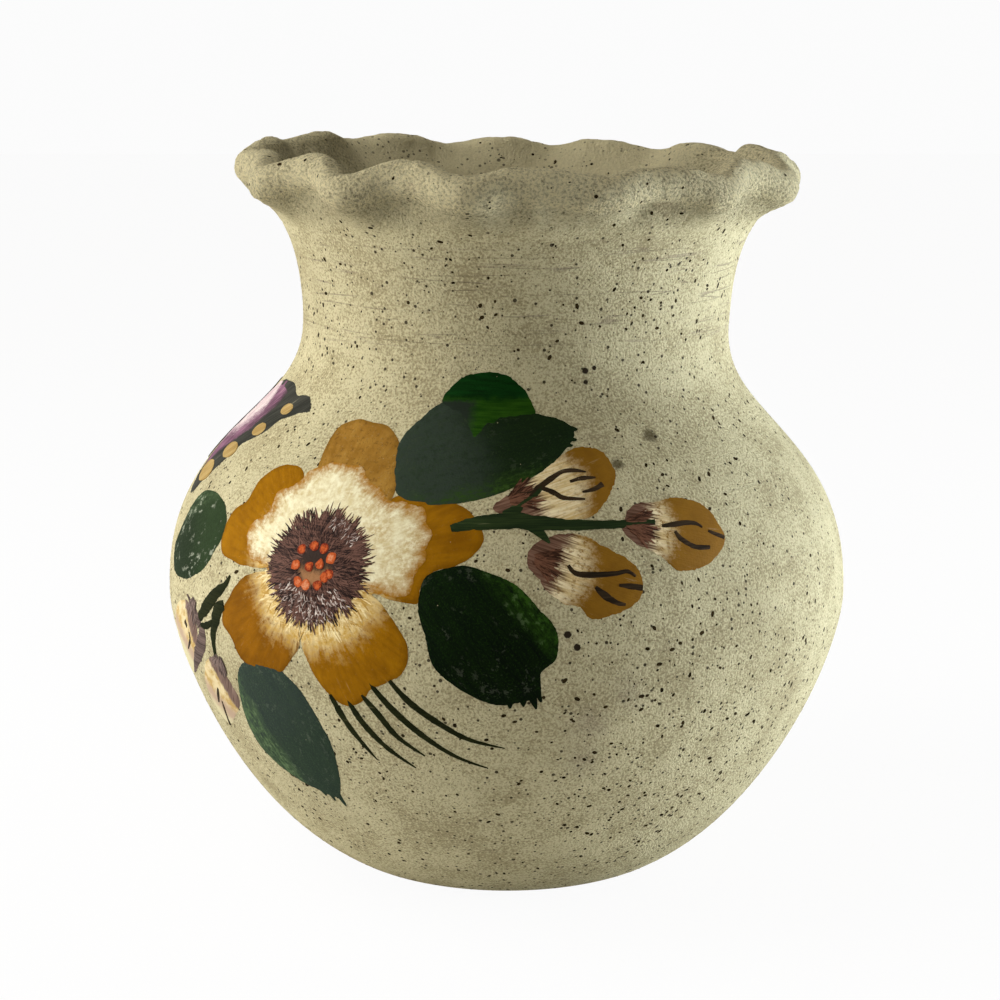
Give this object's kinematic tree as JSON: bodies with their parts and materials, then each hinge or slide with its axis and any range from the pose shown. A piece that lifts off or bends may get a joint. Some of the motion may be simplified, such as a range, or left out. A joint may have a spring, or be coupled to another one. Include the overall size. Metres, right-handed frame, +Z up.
{
  "type": "pottery vase",
  "caption": "Round-bellied earthenware vase with a flared neck and finger-pinched lip, slip-coated and brush-painted with a flower spray; stands on a flat foot and holds flowers.",
  "frame": {"origin": "centre of the underside of the foot, on the surface that the vase stands on", "axes": "+Z up along the pot's axis, -Y towards the painted front, +X to the right as seen from the front"},
  "size_m": [0.16, 0.1603, 0.1669],
  "materials": {
    "clay": "unglazed fired earthenware",
    "slip": "matte sandy slip with dark specks",
    "ochre_paint": "matte brushed paint",
    "cream_paint": "matte dry-brushed paint",
    "umber_paint": "matte brushed paint",
    "orange_paint": "matte brushed paint",
    "dark_green_paint": "satin brushed paint",
    "light_green_paint": "satin brushed paint",
    "stem_paint": "satin brushed paint",
    "grey_paint": "matte brushed paint",
    "mauve_paint": "matte dry-brushed paint"
  },
  "bodies": {
    "root": {"base_disc": "clay", "lower_bowl": "clay", "shoulder": "clay", "neck_collar": "clay", "ruffled_lip": "clay", "body_slip": "slip", "neck_lining": "slip", "lip_slip": "slip", "petal_right": "ochre_paint", "petal_top": "ochre_paint", "petal_left": "ochre_paint", "petal_lower_left": "ochre_paint", "petal_bottom": "ochre_paint", "bud_upper": "ochre_paint", "bud_end": "ochre_paint", "bud_lower": "ochre_paint", "bud_left_upper": "ochre_paint", "bud_left_lower": "ochre_paint", "leaf_upper_lobe": "light_green_paint", "leaf_upper": "dark_green_paint", "leaf_lower_right": "dark_green_paint", "leaf_lower_left": "dark_green_paint", "leaf_left": "dark_green_paint", "grass_strokes": "stem_paint", "stem_right": "stem_paint", "stem_left": "stem_paint", "flower_eye": "umber_paint", "wing_right": "grey_paint", "wing_left": "grey_paint", "butterfly_body": "umber_paint", "petal_highlights": "cream_paint", "stamen_dots": "orange_paint", "bud_calyxes": "umber_paint", "wing_panels": "mauve_paint", "wing_spots": "ochre_paint"}
  },
  "joints": []
}
